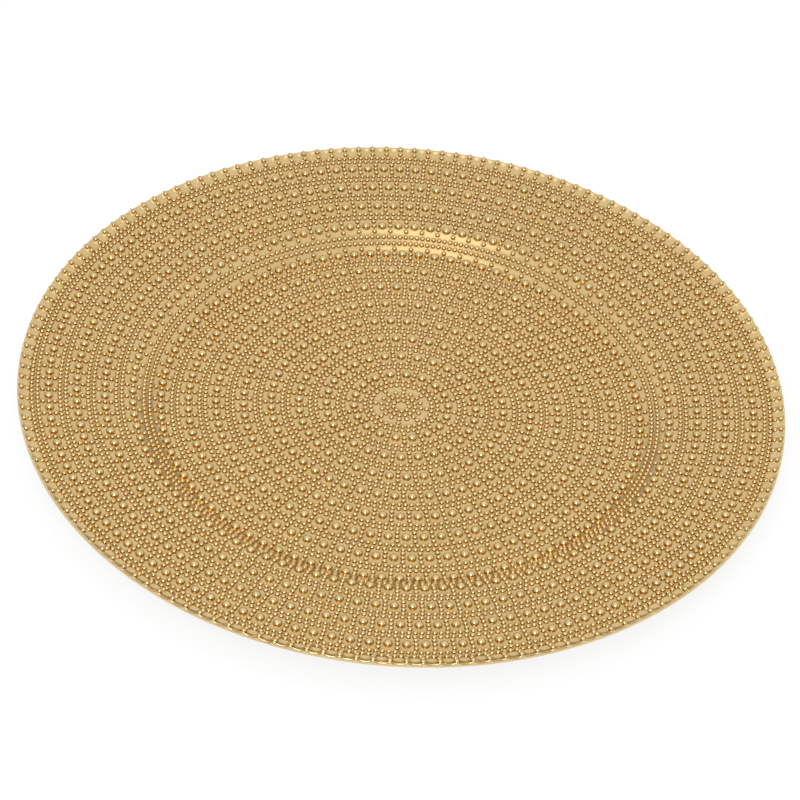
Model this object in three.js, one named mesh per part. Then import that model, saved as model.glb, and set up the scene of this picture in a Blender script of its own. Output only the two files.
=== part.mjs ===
// Round charger plate: a thin moulded body under a gold face that carries rings of pearls, a
// raised band of beads outside each ring, and an edge that is turned up and ribbed.
// Millimetres, +Z up, origin at the centre of the foot's resting plane.
import * as THREE from 'three';

// Form of the face: floor, wall, rim, and the rim's end turned up to the edge
const EDGE_RADIUS = 165;
const FLOOR_RADIUS = 105;
const WALL_RUN = 9.8;
const WALL_RISE = 6.85;
const RIM_RISE = 6.1;
const EDGE_RISE = 1.75;
const FLOOR_CROWN = 0.8;
const RIM_CROWN = 0.3;
const FLOOR_BLEND = 3;
const SHOULDER_BLEND = 3;

// Layers, from the face down to the table. The body thins out along the rim.
const FACE_THICKNESS = 0.4;
const BOND_GAP = 0.1;
const BODY_THICKNESS = 1.6;
const BODY_EDGE_THICKNESS = 0.9;
const FOOT_HEIGHT = 1.5;

// Foot ring under the floor, with drafted sides and a flat land
const FOOT_RADIUS = 96;
const FOOT_LAND = 2.4;
const FOOT_DRAFT = 0.6;

// Rings of pearls, evenly spaced, each with ten pearls more than the last. Beads raise a band
// midway between two rings and a saddle between two pearls.
const FIRST_RING_RADIUS = 20.53;
const LAST_RING_INSET = 13.35;
const RING_COUNT = 12;
const FIRST_RING_PEARLS = 18;
const PEARLS_ADDED = 10;
const PEARL_WIDTH = 3.8;
const PEARL_HEIGHT = 1.7;
const BAND_HEIGHT = 1.0;
const SADDLE_HEIGHT = 0.75;

// Edge: short ribs that rise along the upturned end, and a lip where the face is turned down
// round the body
const RIB_SPACING = 6.64;
const RIB_WIDTH = 2.3;
const RIB_LENGTH = 5.6;
const RIB_HEIGHT = 0.9;
const LIP_WIDTH = 0.8;

// Facets
const ROUND_SEGMENTS = 56;
const BLEND_STEPS = 2;
const HEIGHT_STEPS = 40;
const BAND_SAG = 0.3;

// Places that follow from the wall and the layers
const shoulderRadius = FLOOR_RADIUS + WALL_RUN;
const floorZ = FOOT_HEIGHT + BODY_THICKNESS + BOND_GAP + FACE_THICKNESS;
const shoulderZ = floorZ + WALL_RISE;
const ribRoot = EDGE_RADIUS - RIB_LENGTH;
const ribRootZ = shoulderZ + RIM_RISE;
const edgeZ = ribRootZ + EDGE_RISE;
const ringPitch = (EDGE_RADIUS - LAST_RING_INSET - FIRST_RING_RADIUS) / (RING_COUNT - 1);

// Section of the face from the middle of the floor to the edge
function faceSection() {
  const corner = new THREE.Vector2(FLOOR_RADIUS, floorZ);
  const shoulder = new THREE.Vector2(shoulderRadius, shoulderZ);
  const rimEnd = new THREE.Vector2(ribRoot, ribRootZ);
  const alongWall = shoulder.clone().sub(corner).normalize();
  const rimControl = shoulder.clone().add(rimEnd).multiplyScalar(0.5);
  rimControl.y += 2 * RIM_CROWN;
  const alongRim = rimControl.clone().sub(shoulder).normalize();
  const floorEnd = FLOOR_RADIUS - FLOOR_BLEND;
  const wallStart = corner.clone().addScaledVector(alongWall, FLOOR_BLEND);
  const wallEnd = shoulder.clone().addScaledVector(alongWall, -SHOULDER_BLEND);
  const rimStart = shoulder.clone().addScaledVector(alongRim, SHOULDER_BLEND);
  const section = new THREE.Path();
  section.moveTo(0, floorZ + FLOOR_CROWN);
  section.quadraticCurveTo(floorEnd / 2, floorZ + FLOOR_CROWN, floorEnd, floorZ);
  section.quadraticCurveTo(corner.x, corner.y, wallStart.x, wallStart.y);
  section.lineTo(wallEnd.x, wallEnd.y);
  section.quadraticCurveTo(shoulder.x, shoulder.y, rimStart.x, rimStart.y);
  section.quadraticCurveTo(rimControl.x, rimControl.y, rimEnd.x, rimEnd.y);
  section.lineTo(EDGE_RADIUS, edgeZ);
  return section;
}

// Height of a section, given by points of rising radius, at one radius
function heightOn(points, radius) {
  const last = points.length - 1;
  let next = points.findIndex((point) => point.x > radius);
  if (next < 1) {
    next = next === 0 ? 1 : last;
  }
  const low = points[next - 1];
  const high = points[next];
  return low.y + ((high.y - low.y) * (radius - low.x)) / (high.x - low.x);
}

// The same section lower down, by a depth that may change with the radius, ended at a given radius
function sectionBelow(points, depthAt, endRadius) {
  const below = points.map((point, i) => {
    const before = points[Math.max(i - 1, 0)];
    const after = points[Math.min(i + 1, points.length - 1)];
    const along = after.clone().sub(before).normalize();
    const depth = depthAt(point.x);
    const radius = i === 0 ? 0 : point.x + along.y * depth;
    return new THREE.Vector2(radius, point.y - along.x * depth);
  });
  const kept = below.filter((point) => point.x < endRadius);
  kept.push(new THREE.Vector2(endRadius, heightOn(below, endRadius)));
  return kept;
}

const section = faceSection();
const facePoints = section.getPoints(BLEND_STEPS);
const fineFacePoints = section.getPoints(HEIGHT_STEPS);
const lipRadius = EDGE_RADIUS - LIP_WIDTH;
const bodyRadius = lipRadius - BOND_GAP;

// Place of a point that stands off the face by a height, at right angles to it
function offFace(radius, height) {
  const half = PEARL_WIDTH / 2;
  const rise = heightOn(fineFacePoints, radius + half) - heightOn(fineFacePoints, radius - half);
  const tilt = Math.atan2(rise, PEARL_WIDTH);
  const z = heightOn(fineFacePoints, radius) + height * Math.cos(tilt);
  return { radius: radius - height * Math.sin(tilt), z };
}

// Depth of each layer's surface under the face
const faceDepth = () => FACE_THICKNESS;
const bodyDepth = () => FACE_THICKNESS + BOND_GAP;

function underDepth(radius) {
  const share = Math.max(radius - shoulderRadius, 0) / (EDGE_RADIUS - shoulderRadius);
  return bodyDepth() + BODY_THICKNESS + share * (BODY_EDGE_THICKNESS - BODY_THICKNESS);
}

const underPoints = sectionBelow(facePoints, underDepth, bodyRadius);

// Moulded body: the section turned round the axis, with the foot ring below the floor
function bodyGeometry() {
  const top = sectionBelow(facePoints, bodyDepth, bodyRadius);
  const landOuter = FOOT_RADIUS + FOOT_LAND / 2;
  const landInner = FOOT_RADIUS - FOOT_LAND / 2;
  const rootOuter = landOuter + FOOT_DRAFT;
  const rootInner = landInner - FOOT_DRAFT;
  const foot = [
    new THREE.Vector2(rootInner, heightOn(underPoints, rootInner)),
    new THREE.Vector2(landInner, 0),
    new THREE.Vector2(landOuter, 0),
    new THREE.Vector2(rootOuter, heightOn(underPoints, rootOuter)),
  ];
  const outline = [
    ...underPoints.filter((point) => point.x < rootInner),
    ...foot,
    ...underPoints.filter((point) => point.x > rootOuter),
    ...top.reverse(),
  ];
  const geometry = new THREE.LatheGeometry(outline, ROUND_SEGMENTS);
  return geometry.rotateX(Math.PI / 2);
}

// Gold face: one closed skin, made of chains of points that run round the plate. Each chain is
// sewn to the next, across the pearls, over the edge and back under to the middle.
function faceGeometry() {
  const positions = [];
  const triangles = [];

  function addPoint(radius, angle, height) {
    positions.push(radius * Math.cos(angle), radius * Math.sin(angle), height);
    return { index: positions.length / 3 - 1, angle };
  }

  function onFace(radius, angle) {
    return addPoint(radius, angle, heightOn(fineFacePoints, radius));
  }

  function circle(radius, height, count = ROUND_SEGMENTS) {
    const step = (2 * Math.PI) / count;
    return Array.from({ length: count }, (_, i) => addPoint(radius, i * step, height));
  }

  // Angle of the next point of a chain, counted on past a full turn
  function nextAngle(chain, steps) {
    const turns = Math.floor(steps / chain.length);
    return chain[steps % chain.length].angle + turns * 2 * Math.PI;
  }

  // Triangles between two chains, always stepping on along the one that lags behind
  function sew(from, to) {
    let a = 0;
    let b = 0;
    while (a < from.length || b < to.length) {
      const fromLags = nextAngle(from, a + 1) <= nextAngle(to, b + 1);
      const stepFrom = b === to.length || (a < from.length && fromLags);
      const corner = from[a % from.length].index;
      const across = to[b % to.length].index;
      if (stepFrom) {
        a += 1;
        triangles.push(corner, across, from[a % from.length].index);
      } else {
        b += 1;
        triangles.push(corner, across, to[b % to.length].index);
      }
    }
  }

  function fanOut(centre, chain) {
    chain.forEach((point, i) => {
      triangles.push(centre.index, point.index, chain[(i + 1) % chain.length].index);
    });
  }

  function fanIn(chain, centre) {
    chain.forEach((point, i) => {
      triangles.push(point.index, centre.index, chain[(i + 1) % chain.length].index);
    });
  }

  function ringRadius(ring) {
    return FIRST_RING_RADIUS + ring * ringPitch;
  }

  // A ring of pearls: four-sided domes on a square as large as the pearl's round base, with the
  // chains of the ring's inner and its outer side
  function pearlRing(ring) {
    const radius = ringRadius(ring);
    const count = FIRST_RING_PEARLS + ring * PEARLS_ADDED;
    const step = (2 * Math.PI) / count;
    const half = (PEARL_WIDTH / 2) * Math.sqrt(Math.PI / 2);
    const halfAngle = half / radius;
    const tip = offFace(radius, PEARL_HEIGHT);
    const saddle = offFace(radius, SADDLE_HEIGHT);
    const inner = [];
    const outer = [];
    for (let i = 0; i < count; i += 1) {
      const angle = (i + 0.5) * step;
      const right = addPoint(saddle.radius, angle - halfAngle, saddle.z);
      const left = addPoint(saddle.radius, angle + halfAngle, saddle.z);
      const near = onFace(radius - half, angle);
      const far = onFace(radius + half, angle);
      const top = addPoint(tip.radius, angle, tip.z);
      [[far, left], [left, near], [near, right], [right, far]].forEach(([start, end]) => {
        triangles.push(start.index, end.index, top.index);
      });
      inner.push(right, near, left);
      outer.push(right, far, left);
    }
    return { inner, outer };
  }

  // The ridge of the band outside a ring, with facets that keep close to the circle
  function beadBand(ring) {
    const radius = ringRadius(ring) + ringPitch / 2;
    const ridge = offFace(radius, BAND_HEIGHT);
    const count = Math.ceil(2 * Math.PI * Math.sqrt(radius / (8 * BAND_SAG)));
    return circle(ridge.radius, ridge.z, count);
  }

  // The edge, with a peak on each rib
  function ribbedEdge(count) {
    const step = (2 * Math.PI) / count;
    const halfAngle = RIB_WIDTH / 2 / EDGE_RADIUS;
    const chain = [];
    for (let i = 0; i < count; i += 1) {
      const angle = i * step;
      chain.push(addPoint(EDGE_RADIUS, angle - halfAngle, edgeZ));
      chain.push(addPoint(EDGE_RADIUS, angle, edgeZ + RIB_HEIGHT));
      chain.push(addPoint(EDGE_RADIUS, angle + halfAngle, edgeZ));
    }
    return chain;
  }

  // Upper side, from the middle to the last band
  let last = beadBand(-1);
  fanOut(onFace(0, 0), last);
  for (let ring = 0; ring < RING_COUNT; ring += 1) {
    const pearls = pearlRing(ring);
    sew(last, pearls.inner);
    last = beadBand(ring);
    sew(pearls.outer, last);
  }

  // Ribs, then the lip round the edge, level with the body's underside
  const ribCount = Math.round((2 * Math.PI * EDGE_RADIUS) / RIB_SPACING);
  const lipZ = heightOn(underPoints, bodyRadius);
  const chains = [
    circle(ribRoot, ribRootZ, ribCount),
    ribbedEdge(ribCount),
    circle(EDGE_RADIUS, lipZ),
    circle(lipRadius, lipZ),
  ];

  // Lower side, back to the middle
  const lower = sectionBelow(facePoints, faceDepth, lipRadius);
  lower.slice(1).reverse().forEach((point) => chains.push(circle(point.x, point.y)));
  chains.forEach((chain) => {
    sew(last, chain);
    last = chain;
  });
  fanIn(last, addPoint(0, 0, lower[0].y));

  const geometry = new THREE.BufferGeometry();
  geometry.setAttribute('position', new THREE.Float32BufferAttribute(positions, 3));
  geometry.setIndex(triangles);
  geometry.computeVertexNormals();
  return geometry;
}

// One named mesh
function piece(name, geometry, look) {
  const mesh = new THREE.Mesh(geometry, new THREE.MeshStandardMaterial(look));
  mesh.name = name;
  return mesh;
}

const dullGoldPlastic = { color: 0xa98752, roughness: 0.55, metalness: 0.0 };
const satinGold = { color: 0xc9a467, roughness: 0.32, metalness: 0.9 };

const plate = new THREE.Group();
plate.add(piece('plate_body', bodyGeometry(), dullGoldPlastic));
plate.add(piece('gold_face', faceGeometry(), satinGold));

export default plate;
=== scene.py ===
import math

import bpy
import numpy as np
from mathutils import Matrix, Vector


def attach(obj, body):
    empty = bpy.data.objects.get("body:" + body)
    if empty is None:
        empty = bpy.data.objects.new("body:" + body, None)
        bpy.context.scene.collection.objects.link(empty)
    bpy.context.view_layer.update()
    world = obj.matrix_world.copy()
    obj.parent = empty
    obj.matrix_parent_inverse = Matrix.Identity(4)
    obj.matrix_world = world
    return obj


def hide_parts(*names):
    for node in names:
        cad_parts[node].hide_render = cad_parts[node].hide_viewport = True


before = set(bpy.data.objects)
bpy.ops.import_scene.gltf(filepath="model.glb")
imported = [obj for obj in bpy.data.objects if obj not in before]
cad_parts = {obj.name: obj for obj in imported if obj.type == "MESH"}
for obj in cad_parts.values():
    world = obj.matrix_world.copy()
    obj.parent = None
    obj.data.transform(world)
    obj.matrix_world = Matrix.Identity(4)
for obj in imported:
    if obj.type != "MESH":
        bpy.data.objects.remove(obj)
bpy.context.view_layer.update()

# Form of the plate, in millimetres, as in the part's source
MM = 0.001
EDGE_RADIUS = 165.0
FLOOR_RADIUS = 105.0
FLOOR_HEIGHT = 3.6
WALL_RUN = 9.8
WALL_RISE = 6.85
RIM_RISE = 6.1
RIB_LENGTH = 5.6
FLOOR_CROWN = 0.8
RIM_CROWN = 0.3
FLOOR_BLEND = 3.0
SHOULDER_BLEND = 3.0
RIB_ROOT = EDGE_RADIUS - RIB_LENGTH

# Layers and foot
SHEET_THICKNESS = 0.4
BODY_DEPTH = 0.5
UNDER_DEPTH = 2.1
EDGE_UNDER_DEPTH = 1.4
FOOT_RADIUS = 96.0
FOOT_LAND = 2.4
FOOT_DRAFT = 0.6
FOOT_ROUND = 0.35
FOOT_REACH = (90.5, 99.3)

# Pearls and beads
FIRST_RING_RADIUS = 20.53
LAST_RING_INSET = 13.35
RING_COUNT = 12
RING_PITCH = (EDGE_RADIUS - LAST_RING_INSET - FIRST_RING_RADIUS) / (RING_COUNT - 1)
FIRST_RING_PEARLS = 18
PEARLS_ADDED = 10
PEARL_WIDTH = 3.8
PEARL_HEIGHT = 1.7
BEAD_SPACING = 2.57
BEAD_WIDTH = 2.3
BEAD_HEIGHT = 0.95
COLUMN_BEAD_HEIGHT = 1.1
ROW_OFFSET = 1.21
ROW_STAGGER = 0.25
RING_STAGGER = 0.13
COLUMN_PITCH = 2.5
BEAD_SINK = 0.2
ROSETTE_RINGS = ((3.5, 9), (6.1, 16))
ROSETTE_SPOKES = (8.6, 11.1)

# Rings of the pattern where a piece of beads begins; the rosette takes the place of a ring before the first
ROSETTE_RING = -1
WALL_RING = 7
RIM_RING = 8
EDGE_RING = 10

# Shares of a step round a ring, from a column of beads to the next
AT_COLUMN = 0.0
AT_PEARL = 0.5

# Edge
RIB_SPACING = 6.64
RIB_BEADS = ((160.75, 0.65), (163.1, 1.45))
LOBE_END = 164.5
STEP_RISE = 0.7
STEP_SHARE = 0.3
LOBE_RISE = 0.5
LOBE_SCOOP = 0.75
RIDGE_RISE = 1.0
LIP_HEIGHT = 16.95
LIP_INNER = 163.9
LIP_CHAMFER = 0.1
BODY_EDGE_GAP = 0.1
BODY_EDGE_HEIGHT = 0.2

# Fineness of the section and of the skins
FLOOR_STEPS = 60
BLEND_STEPS = 24
WALL_STEPS = 8
RIM_STEPS = 60
FOOT_STEPS = 5
LOBE_RINGS = 10
LIP_STEPS = 6
RIB_COUNT = round(2 * math.pi * EDGE_RADIUS / RIB_SPACING)
EDGE_STEPS = 8
EDGE_SEGMENTS = RIB_COUNT * EDGE_STEPS
INNER_SEGMENTS = RIB_COUNT * 2

# Radii that the skins are drawn on: first, last and how many
FACE_RADII = ((2.0, 96.0, 14), (100.0, 120.0, 41), (126.0, 158.0, 9))
FACE_BACK_RADII = ((158.0, 120.0, 5), (118.0, 100.0, 19), (96.0, 4.0, 6))
UNDER_RADII = ((4.0, 90.0, 12), (99.5, 120.0, 42), (124.0, 162.0, 12))
BODY_TOP_RADII = ((158.0, 120.0, 6), (118.0, 100.0, 19), (96.0, 4.0, 6))


def bezier(start, control, end, steps):
    """Points of a quadratic curve."""
    t = np.linspace(0.0, 1.0, steps + 1)[:, None]
    start, control, end = (np.array(p, float) for p in (start, control, end))
    return (1 - t) ** 2 * start + 2 * t * (1 - t) * control + t ** 2 * end


def face_section():
    """Radius and height of the face from the middle of the floor to the edge."""
    corner = np.array([FLOOR_RADIUS, FLOOR_HEIGHT])
    shoulder = corner + np.array([WALL_RUN, WALL_RISE])
    rim_end = np.array([RIB_ROOT, shoulder[1] + RIM_RISE])
    wall = (shoulder - corner) / np.linalg.norm(shoulder - corner)
    rim_control = (shoulder + rim_end) / 2 + np.array([0.0, 2 * RIM_CROWN])
    rim = (rim_control - shoulder) / np.linalg.norm(rim_control - shoulder)
    floor_end = np.array([FLOOR_RADIUS - FLOOR_BLEND, FLOOR_HEIGHT])
    middle = np.array([0.0, FLOOR_HEIGHT + FLOOR_CROWN])
    wall_start = corner + wall * FLOOR_BLEND
    wall_end = shoulder - wall * SHOULDER_BLEND
    rim_start = shoulder + rim * SHOULDER_BLEND
    floor_control = np.array([floor_end[0] / 2, middle[1]])
    onward = rim_end - rim_control
    return np.concatenate([
        bezier(middle, floor_control, floor_end, FLOOR_STEPS),
        bezier(floor_end, corner, wall_start, BLEND_STEPS)[1:],
        bezier(wall_start, (wall_start + wall_end) / 2, wall_end, WALL_STEPS)[1:],
        bezier(wall_end, shoulder, rim_start, BLEND_STEPS)[1:],
        bezier(rim_start, rim_control, rim_end, RIM_STEPS)[1:],
        [rim_end + onward * (EDGE_RADIUS - RIB_ROOT) / onward[0]],
    ])


SECTION = face_section()
SECTION_SLOPE = np.gradient(SECTION[:, 1], SECTION[:, 0])


def height_at(radius):
    return np.interp(radius, SECTION[:, 0], SECTION[:, 1])


def tilt_at(radius):
    return np.arctan(np.interp(radius, SECTION[:, 0], SECTION_SLOPE))


def mesh_object(name, points, faces, material, node):
    """A smooth mesh piece from points in millimetres and arrays of faces."""
    mesh = bpy.data.meshes.new(name)
    corners = np.concatenate([f.ravel() for f in faces]).astype(np.int32)
    sizes = np.concatenate([np.full(len(f), f.shape[1]) for f in faces])
    starts = np.concatenate([[0], np.cumsum(sizes)[:-1]]).astype(np.int32)
    mesh.vertices.add(len(points))
    mesh.vertices.foreach_set("co", (points * MM).astype(np.float32).ravel())
    mesh.loops.add(len(corners))
    mesh.loops.foreach_set("vertex_index", corners)
    mesh.polygons.add(len(starts))
    mesh.polygons.foreach_set("loop_start", starts)
    mesh.update(calc_edges=True)
    mesh.validate()
    mesh.shade_smooth()
    mesh.materials.append(material)
    piece = bpy.data.objects.new(name, mesh)
    bpy.context.scene.collection.objects.link(piece)
    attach(piece, "root")
    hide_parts(node)


# Skins made of rings of points

def radii_of(ranges):
    """Radii of all the ranges in turn."""
    return np.concatenate([np.linspace(*each) for each in ranges])


def ring_points(radius, height, count):
    """A ring; radius and height may be one value or one for each point."""
    angle = np.arange(count) * 2 * math.pi / count
    ones = np.ones(count)
    return np.stack([radius * np.cos(angle), radius * np.sin(angle), height * ones], 1)


def sew(first, n, second, m):
    """Faces between two rings given by first index and count, where m is n or a multiple of it."""
    if n == m:
        i = np.arange(n)
        j = (i + 1) % n
        return [np.stack([first + i, second + i, second + j, first + j], 1)]
    step = m // n
    triangles = []
    for i in range(n):
        here = first + i
        following = first + (i + 1) % n
        for k in range(step):
            corner = here if k < step // 2 else following
            a = second + i * step + k
            b = second + (i * step + k + 1) % m
            triangles.append((corner, a, b))
        triangles.append((here, second + i * step + step // 2, following))
    return [np.array(triangles)]


def skin(rings, start, end):
    """Points and faces of a skin over rings, closed by a point at its start and end."""
    points = [np.array([start])]
    faces = []
    total = 1
    before = None
    for ring in rings:
        count = len(ring)
        points.append(ring)
        i = np.arange(count)
        if before is None:
            faces.append(np.stack([0 * i, total + i, total + (i + 1) % count], 1))
        else:
            first, n = before
            if n <= count:
                faces += sew(first, n, total, count)
            else:
                faces += [f[:, ::-1] for f in sew(total, count, first, n)]
        before = (total, count)
        total += count
    points.append(np.array([end]))
    first, n = before
    i = np.arange(n)
    faces.append(np.stack([first + i, total + 0 * i, first + (i + 1) % n], 1))
    return np.concatenate(points), faces


def edge_wave(radius):
    """How far the edge stands above the rim's line, for each point of a ring."""
    across = np.abs((np.arange(EDGE_SEGMENTS) % EDGE_STEPS) / EDGE_STEPS * 2 - 1)
    share = (radius - RIB_ROOT) / (LOBE_END - RIB_ROOT)
    step = math.sin(math.pi / 2 * min(share / STEP_SHARE, 1.0))
    scoop = LOBE_SCOOP * math.sin(math.pi * share) * (1 - across ** 2)
    return STEP_RISE * step + LOBE_RISE * share - scoop + RIDGE_RISE * share * across ** 4


def face_rings():
    """Rings of the gold sheet, over the edge and back below."""
    rings = []
    for radius in radii_of(FACE_RADII):
        rings.append(ring_points(radius, height_at(radius), INNER_SEGMENTS))
    for radius in np.linspace(RIB_ROOT, LOBE_END, LOBE_RINGS):
        rings.append(ring_points(radius, height_at(radius) + edge_wave(radius), EDGE_SEGMENTS))
    top = height_at(LOBE_END) + edge_wave(LOBE_END)
    low = LIP_HEIGHT + LIP_CHAMFER
    for turn in np.linspace(0.0, math.pi / 2, LIP_STEPS + 1)[1:]:
        radius = LOBE_END + (EDGE_RADIUS - LOBE_END) * math.sin(turn)
        rings.append(ring_points(radius, low + (top - low) * math.cos(turn), EDGE_SEGMENTS))
    rings.append(ring_points(EDGE_RADIUS - LIP_CHAMFER, LIP_HEIGHT, EDGE_SEGMENTS))
    rings.append(ring_points(LIP_INNER, LIP_HEIGHT, EDGE_SEGMENTS))
    rings.append(ring_points(LIP_INNER, height_at(LIP_INNER) - SHEET_THICKNESS / 2, EDGE_SEGMENTS))
    for radius in radii_of(FACE_BACK_RADII):
        tilt = tilt_at(radius)
        rings.append(ring_points(
            radius + SHEET_THICKNESS * math.sin(tilt),
            height_at(radius) - SHEET_THICKNESS * math.cos(tilt), INNER_SEGMENTS))
    return rings


def below_face(radii, depth):
    """Radius and height of points at a depth below the face."""
    tilt = tilt_at(radii)
    return np.stack([radii + depth * np.sin(tilt), height_at(radii) - depth * np.cos(tilt)], 1)


def foot_outline(low):
    """Rounded corners of the foot ring, given the height of the underside at a radius."""
    land_in = FOOT_RADIUS - FOOT_LAND / 2
    land_out = FOOT_RADIUS + FOOT_LAND / 2
    root_in = land_in - FOOT_DRAFT
    root_out = land_out + FOOT_DRAFT
    inside, outside = FOOT_REACH
    corners = [
        (inside, low(inside)), (root_in, low(root_in)), (land_in, 0.0),
        (land_out, 0.0), (root_out, low(root_out)), (outside, low(outside))]
    foot = []
    for before, here, after in zip(corners, corners[1:], corners[2:]):
        before, here, after = (np.array(p) for p in (before, here, after))
        towards = (before - here) / np.linalg.norm(before - here)
        onward = (after - here) / np.linalg.norm(after - here)
        foot.append(bezier(here + towards * FOOT_ROUND, here, here + onward * FOOT_ROUND, FOOT_STEPS))
    return foot


def under_rings():
    """Rings of the plain body: the underside with its foot ring, then the hidden upper side."""
    radii = radii_of(UNDER_RADII)
    shoulder = FLOOR_RADIUS + WALL_RUN
    share = np.clip((radii - shoulder) / (EDGE_RADIUS - shoulder), 0, 1)
    below = below_face(radii, UNDER_DEPTH + share * (EDGE_UNDER_DEPTH - UNDER_DEPTH))

    def low(radius):
        return float(np.interp(radius, below[:, 0], below[:, 1]))

    rim_radius = LIP_INNER - BODY_EDGE_GAP
    rim = np.array([(rim_radius, LIP_HEIGHT), (rim_radius, LIP_HEIGHT + BODY_EDGE_HEIGHT)])
    outline = np.concatenate([
        below[radii < FOOT_RADIUS], *foot_outline(low), below[radii > FOOT_RADIUS], rim,
        below_face(radii_of(BODY_TOP_RADII), BODY_DEPTH)])
    return [ring_points(radius, height, INNER_SEGMENTS) for radius, height in outline]


# Domes set on the face

def dome(sides, rings):
    """Unit dome: across, along, up, and a mark on the points that sink into the sheet; and its faces."""
    angle = np.arange(sides) * 2 * math.pi / sides
    rows = [np.stack([np.cos(angle), np.sin(angle), 0 * angle, 0 * angle + 1], 1)]
    for k in range(rings):
        rise = math.pi / 2 * k / rings
        rows.append(np.stack([
            math.cos(rise) * np.cos(angle), math.cos(rise) * np.sin(angle),
            0 * angle + math.sin(rise), 0 * angle], 1))
    rows.append(np.array([[0.0, 0.0, 1.0, 0.0]]))
    points = np.concatenate(rows)
    i = np.arange(sides)
    j = (i + 1) % sides
    quads = [np.stack([k * sides + i, k * sides + j, (k + 1) * sides + j, (k + 1) * sides + i], 1)
             for k in range(rings)]
    top = len(points) - 1
    tip = np.stack([rings * sides + i, rings * sides + j, 0 * i + top], 1)
    base = i[::-1][None, :]
    return points, [np.concatenate(quads), tip, base]


def domes(places, template):
    """Points and faces of many domes; a place is radius, angle, width, height and lift."""
    unit, unit_faces = template
    radius, angle, width, height, lift = (np.array(c)[:, None] for c in zip(*places))
    tilt = tilt_at(radius)
    up = height_at(radius) + lift
    cos, sin = np.cos(angle), np.sin(angle)
    u = unit[None, :, 0] * width / 2
    v = unit[None, :, 1] * width / 2
    w = unit[None, :, 2] * height - unit[None, :, 3] * (BEAD_SINK + lift)
    along = radius + v * np.cos(tilt) - w * np.sin(tilt)
    points = np.stack([
        along * cos + u * sin,
        along * sin - u * cos,
        up + v * np.sin(tilt) + w * np.cos(tilt)], 2)
    shift = (np.arange(len(places)) * len(unit))[:, None, None]
    faces = [(f[None] + shift).reshape(-1, f.shape[1]) for f in unit_faces]
    return points.reshape(-1, 3), faces


def ring_radius(ring):
    """Radius of a ring of pearls."""
    return FIRST_RING_RADIUS + ring * RING_PITCH


def pearl_angles(ring, offset):
    """Angles round a ring, one for each pearl, shifted by a share of a step."""
    count = FIRST_RING_PEARLS + ring * PEARLS_ADDED
    return (np.arange(count) + offset) * 2 * math.pi / count


def pearls():
    """All the pearls."""
    return [(ring_radius(ring), angle, PEARL_WIDTH, PEARL_HEIGHT, 0.0)
            for ring in range(RING_COUNT) for angle in pearl_angles(ring, AT_PEARL)]


def bead_rows(first, last):
    """Two rows of beads outside each ring of a range."""
    places = []
    for ring in range(first, last):
        for side in (-1, 1):
            radius = ring_radius(ring) + RING_PITCH / 2 + side * ROW_OFFSET
            count = round(2 * math.pi * radius / BEAD_SPACING)
            start = ROW_STAGGER * side + RING_STAGGER * ring
            for i in range(count):
                angle = (i + start) * 2 * math.pi / count
                places.append((radius, angle, BEAD_WIDTH, BEAD_HEIGHT, 0.0))
    return places


def bead_columns(first, last):
    """Three beads on a radius between each two pearls of a range of rings."""
    places = []
    for ring in range(first, last):
        for angle in pearl_angles(ring, AT_COLUMN):
            for step in (-1, 0, 1):
                radius = ring_radius(ring) + step * COLUMN_PITCH
                places.append((radius, angle, BEAD_WIDTH, COLUMN_BEAD_HEIGHT, 0.0))
    return places


def rosette():
    """Beads in the middle of the floor: rings round a smooth disc, then eight cells with a bead in each."""
    places = []
    for radius, count in ROSETTE_RINGS:
        places += [(radius, i * 2 * math.pi / count) for i in range(count)]
    spokes = pearl_angles(ROSETTE_RING, AT_COLUMN)
    places += [(radius, angle) for radius in ROSETTE_SPOKES for angle in spokes]
    places += [(ROSETTE_SPOKES[0], angle) for angle in pearl_angles(ROSETTE_RING, AT_PEARL)]
    return [(radius, angle, BEAD_WIDTH, BEAD_HEIGHT, 0.0) for radius, angle in places]


def edge_ribs():
    """Beads on the ribs of the edge."""
    places = []
    for i in range(RIB_COUNT):
        angle = i * 2 * math.pi / RIB_COUNT
        for radius, lift in RIB_BEADS:
            places.append((radius, angle, BEAD_WIDTH, BEAD_HEIGHT, lift))
    return places


# Materials
GOLD_COLOURS = ((0.70, 0.515, 0.24, 1), (0.78, 0.585, 0.285, 1))
# Painted shade: the dark amber that the gold's base colour turns to in the gaps between beads and pearls
PAINTED_GAP_SHADE = (0.45, 0.245, 0.06, 1)
GOLD_ROUGHNESS = (0.17, 0.23)
GOLD_RANGE = (0.3, 0.7)
GAP_SHADE_REACH = 0.0022
GAP_SHADE_RANGE = (0.35, 0.95)
DULL_COLOURS = ((0.36, 0.235, 0.085, 1), (0.42, 0.28, 0.11, 1))
DULL_RANGE = (0.35, 0.65)
FLOOR_GREY = (0.16, 0.16, 0.16, 1)
FLOOR_LIFT = 0.86


def node_material(name):
    material = bpy.data.materials.new(name)
    material.use_nodes = True
    nodes = material.node_tree.nodes
    shader = nodes["Principled BSDF"]
    return material, nodes, material.node_tree.links, shader


def noise(nodes, links, place, scale, detail=2.0):
    """Value of a noise over the piece."""
    node = nodes.new("ShaderNodeTexNoise")
    node.inputs["Scale"].default_value = scale
    node.inputs["Detail"].default_value = detail
    links.new(place, node.inputs["Vector"])
    return node.outputs["Fac"]


def colour_ramp(nodes, links, value, span, colours):
    """Colour that goes from one to the other over a span of a value."""
    node = nodes.new("ShaderNodeValToRGB")
    for element, position, colour in zip(node.color_ramp.elements, span, colours):
        element.position = position
        element.color = colour
    links.new(value, node.inputs["Fac"])
    return node.outputs["Color"]


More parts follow.
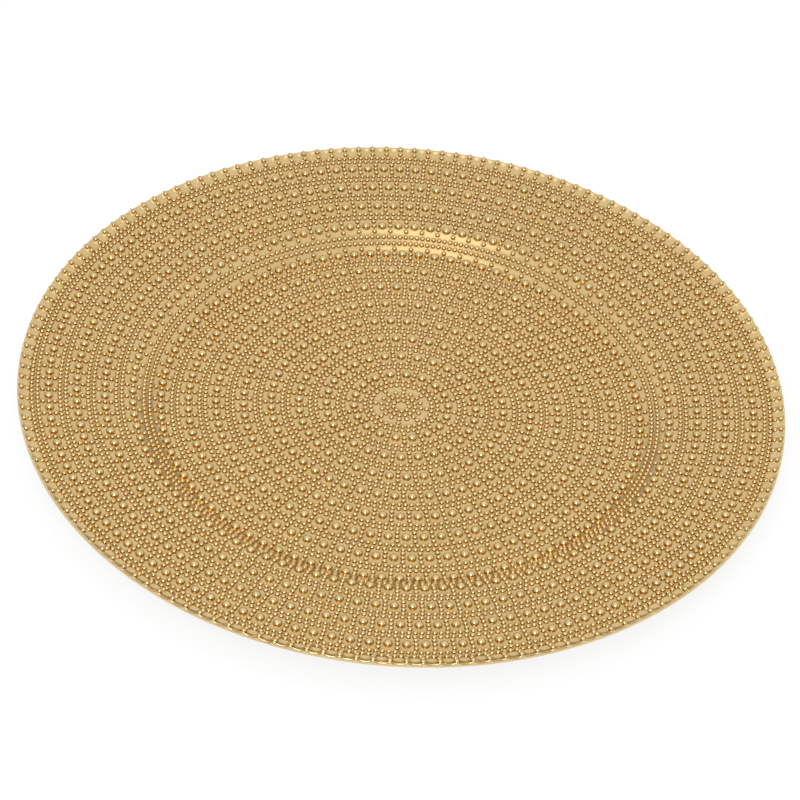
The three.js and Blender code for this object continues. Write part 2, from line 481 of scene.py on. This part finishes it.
def gold_material():
    """Metallised gold: slightly uneven colour and polish, with painted shade: the base colour is darkened
    in the gaps of the relief by ambient occlusion.
    """
    material, nodes, links, shader = node_material("satin_gold")
    place = nodes.new("ShaderNodeTexCoord").outputs["Object"]
    cloud = noise(nodes, links, place, scale=140.0, detail=4.0)
    colour = colour_ramp(nodes, links, cloud, GOLD_RANGE, GOLD_COLOURS)
    polish = nodes.new("ShaderNodeMapRange")
    polish.inputs["From Min"].default_value, polish.inputs["From Max"].default_value = GOLD_RANGE
    polish.inputs["To Min"].default_value, polish.inputs["To Max"].default_value = GOLD_ROUGHNESS
    links.new(cloud, polish.inputs["Value"])
    links.new(polish.outputs["Result"], shader.inputs["Roughness"])
    # Painted shade: ambient occlusion darkens the base colour in the gaps of the relief, standing in for
    # shade and gold-on-gold bounces there
    gap_shade_ao = nodes.new("ShaderNodeAmbientOcclusion")
    gap_shade_ao.samples = 2
    gap_shade_ao.only_local = False
    gap_shade_ao.inputs["Distance"].default_value = GAP_SHADE_REACH
    depth = nodes.new("ShaderNodeMapRange")
    depth.interpolation_type = "SMOOTHSTEP"
    depth.inputs["From Min"].default_value, depth.inputs["From Max"].default_value = GAP_SHADE_RANGE
    shaded_colour = nodes.new("ShaderNodeMix")
    shaded_colour.data_type = "RGBA"
    shaded_colour.inputs["A"].default_value = PAINTED_GAP_SHADE
    links.new(gap_shade_ao.outputs["AO"], depth.inputs["Value"])
    links.new(depth.outputs["Result"], shaded_colour.inputs["Factor"])
    links.new(colour, shaded_colour.inputs["B"])
    links.new(shaded_colour.outputs["Result"], shader.inputs["Base Color"])
    shader.inputs["Metallic"].default_value = 1.0
    return material


def underside_material():
    """Moulded plastic in dull gold with a fine grain."""
    material, nodes, links, shader = node_material("dull_gold_plastic")
    place = nodes.new("ShaderNodeTexCoord").outputs["Object"]
    cloud = noise(nodes, links, place, scale=60.0, detail=6.0)
    colour = colour_ramp(nodes, links, cloud, DULL_RANGE, DULL_COLOURS)
    grain = noise(nodes, links, place, scale=2500.0)
    bump = nodes.new("ShaderNodeBump")
    bump.inputs["Strength"].default_value = 0.15
    bump.inputs["Distance"].default_value = 0.0001
    links.new(colour, shader.inputs["Base Color"])
    links.new(grain, bump.inputs["Height"])
    links.new(bump.outputs["Normal"], shader.inputs["Normal"])
    shader.inputs["Metallic"].default_value = 0.35
    shader.inputs["Roughness"].default_value = 0.45
    return material


def floor_material():
    """Pale floor: lit, so that it keeps the shadow, and lifted to white for the camera and metal."""
    material, nodes, links, shader = node_material("pale_floor")
    shader.inputs["Base Color"].default_value = FLOOR_GREY
    shader.inputs["Roughness"].default_value = 0.9
    shader.inputs["Specular IOR Level"].default_value = 0.0
    path = nodes.new("ShaderNodeLightPath")
    seen = nodes.new("ShaderNodeMath")
    seen.operation = "MAXIMUM"
    either = nodes.new("ShaderNodeMath")
    either.operation = "MAXIMUM"
    lift = nodes.new("ShaderNodeMath")
    lift.operation = "MULTIPLY"
    lift.inputs[1].default_value = FLOOR_LIFT
    glow = nodes.new("ShaderNodeEmission")
    both = nodes.new("ShaderNodeAddShader")
    links.new(path.outputs["Is Camera Ray"], seen.inputs[0])
    links.new(path.outputs["Is Glossy Ray"], seen.inputs[1])
    links.new(seen.outputs[0], either.inputs[0])
    links.new(path.outputs["Is Transmission Ray"], either.inputs[1])
    links.new(either.outputs[0], lift.inputs[0])
    links.new(lift.outputs[0], glow.inputs["Strength"])
    links.new(shader.outputs["BSDF"], both.inputs[0])
    links.new(glow.outputs["Emission"], both.inputs[1])
    links.new(both.outputs["Shader"], nodes["Material Output"].inputs["Surface"])
    return material


# Pieces of the plate
gold = gold_material()
dull = underside_material()
small = dome(sides=10, rings=3)
large = dome(sides=16, rings=6)
middle_height = height_at(0.0)


def gold_piece(name, points, faces):
    mesh_object(name, points, faces, gold, "gold_face")


gold_piece("face_sheet", *skin(
    face_rings(), (0.0, 0.0, middle_height), (0.0, 0.0, middle_height - SHEET_THICKNESS)))
gold_piece("pearl_rings", *domes(pearls(), large))
gold_piece("bead_rows_floor", *domes(bead_rows(ROSETTE_RING, WALL_RING), small))
gold_piece("bead_rows_wall", *domes(bead_rows(WALL_RING, RIM_RING), small))
gold_piece("bead_rows_rim", *domes(bead_rows(RIM_RING, EDGE_RING), small))
gold_piece("bead_rows_edge", *domes(bead_rows(EDGE_RING, RING_COUNT), small))
gold_piece("bead_columns_floor", *domes(bead_columns(0, RIM_RING), small))
gold_piece("bead_columns_rim", *domes(bead_columns(RIM_RING, RING_COUNT), small))
gold_piece("bead_rosette", *domes(rosette(), small))
gold_piece("edge_ribs", *domes(edge_ribs(), small))

under_points, under_faces = skin(
    under_rings(), (0.0, 0.0, middle_height - UNDER_DEPTH), (0.0, 0.0, middle_height - BODY_DEPTH))
outward_faces = [f[:, ::-1] for f in under_faces]
mesh_object("plate_underside", under_points, outward_faces, dull, "plate_body")

# Floor
FLOOR_HALF = 6.0
floor_mesh = bpy.data.meshes.new("floor")
floor_mesh.from_pydata(
    [(FLOOR_HALF * x, FLOOR_HALF * y, 0) for x, y in ((-1, -1), (1, -1), (1, 1), (-1, 1))],
    [], [(0, 1, 2, 3)])
floor = bpy.data.objects.new("floor", floor_mesh)
bpy.context.scene.collection.objects.link(floor)
floor_mesh.materials.append(floor_material())

# Light: a white surround, dimmer at the horizon and on the camera's side, and two soft lamps
SURROUND_LIGHT = 0.94
BAND_LIGHT = 0.52
BAND_HEAD = (0.92, 0.80)
BAND_SIDE = (-0.10, -0.45)
HORIZON = (0.05, 0.45)
HORIZON_LIGHT = 0.3


def surround():
    """The surround that lights the plate; beyond the floor the camera sees plain white."""
    world = bpy.data.worlds.new("studio")
    bpy.context.scene.world = world
    world.use_nodes = True
    nodes = world.node_tree.nodes
    links = world.node_tree.links
    place = nodes.new("ShaderNodeTexCoord")
    split = nodes.new("ShaderNodeSeparateXYZ")
    links.new(place.outputs["Generated"], split.inputs[0])

    def ramp(source, start, end, low=0.0, high=1.0):
        node = nodes.new("ShaderNodeMapRange")
        node.interpolation_type = "SMOOTHSTEP"
        node.inputs["From Min"].default_value = start
        node.inputs["From Max"].default_value = end
        node.inputs["To Min"].default_value = low
        node.inputs["To Max"].default_value = high
        links.new(source, node.inputs["Value"])
        return node.outputs["Result"]

    def times(first, second):
        node = nodes.new("ShaderNodeMath")
        node.operation = "MULTIPLY"
        links.new(first, node.inputs[0])
        links.new(second, node.inputs[1])
        return node.outputs[0]

    below_lamps = ramp(split.outputs["Z"], *BAND_HEAD)
    camera_side = ramp(split.outputs["Y"], *BAND_SIDE)
    band = times(below_lamps, camera_side)
    sky = times(ramp(band, 0.0, 1.0, SURROUND_LIGHT, BAND_LIGHT),
                ramp(split.outputs["Z"], *HORIZON, HORIZON_LIGHT, 1.0))
    background = nodes["Background"]
    background.inputs["Color"].default_value = (1, 1, 1, 1)
    links.new(sky, background.inputs["Strength"])
    white = nodes.new("ShaderNodeBackground")
    white.inputs["Color"].default_value = (1, 1, 1, 1)
    path = nodes.new("ShaderNodeLightPath")
    choose = nodes.new("ShaderNodeMixShader")
    links.new(path.outputs["Is Camera Ray"], choose.inputs["Fac"])
    links.new(background.outputs[0], choose.inputs[1])
    links.new(white.outputs[0], choose.inputs[2])
    links.new(choose.outputs[0], nodes["World Output"].inputs["Surface"])


def soft_lamp(name, size, place, power):
    """A round area lamp turned to the middle of the plate."""
    data = bpy.data.lights.new(name, "AREA")
    data.shape = "DISK"
    data.size = size
    data.energy = power
    lamp = bpy.data.objects.new(name, data)
    lamp.location = place
    lamp.rotation_euler = (-Vector(place)).to_track_quat("-Z", "Y").to_euler()
    bpy.context.scene.collection.objects.link(lamp)


surround()
soft_lamp("overhead", size=0.7, place=(-0.1, -0.1, 1.5), power=0.8)
soft_lamp("key", size=0.8, place=(-0.12, -0.98, 1.02), power=9.0)

# Camera, fitted to the photograph's outline and to the spacing of its beads
AIM_HEIGHT = 17.2
LENS_PIXELS = 3040.0
FRAME_PIXELS = 800.0
SENSOR = 36.0
CAMERA_DISTANCE = 1.30883
CAMERA_ELEVATION = 0.7306
CAMERA_ROLL = 0.08766
CAMERA_TURN = math.radians(3.1)
CAMERA_REACH = 50.0
AIM_SHIFT = (-3.2, -16.0)
turn = Matrix.Rotation(CAMERA_TURN, 3, "Z")
back = turn @ Vector((0.0, -math.cos(CAMERA_ELEVATION), math.sin(CAMERA_ELEVATION)))
level = turn @ Vector((1.0, 0.0, 0.0))
above = back.cross(level)
across = level * math.cos(CAMERA_ROLL) + above * math.sin(CAMERA_ROLL)
upward = above * math.cos(CAMERA_ROLL) - level * math.sin(CAMERA_ROLL)
spot = Vector((0.0, 0.0, AIM_HEIGHT * MM)) + back * CAMERA_DISTANCE
camera_data = bpy.data.cameras.new("camera")
camera_data.sensor_width = SENSOR
camera_data.lens = LENS_PIXELS / FRAME_PIXELS * SENSOR
camera_data.shift_x = AIM_SHIFT[0] / FRAME_PIXELS
camera_data.shift_y = AIM_SHIFT[1] / FRAME_PIXELS
camera_data.clip_end = CAMERA_REACH
camera = bpy.data.objects.new("camera", camera_data)
camera.matrix_world = Matrix((
    (across.x, upward.x, back.x, spot.x),
    (across.y, upward.y, back.y, spot.y),
    (across.z, upward.z, back.z, spot.z),
    (0.0, 0.0, 0.0, 1.0)))
bpy.context.scene.collection.objects.link(camera)
bpy.context.scene.camera = camera
bpy.context.scene.view_settings.view_transform = "Standard"
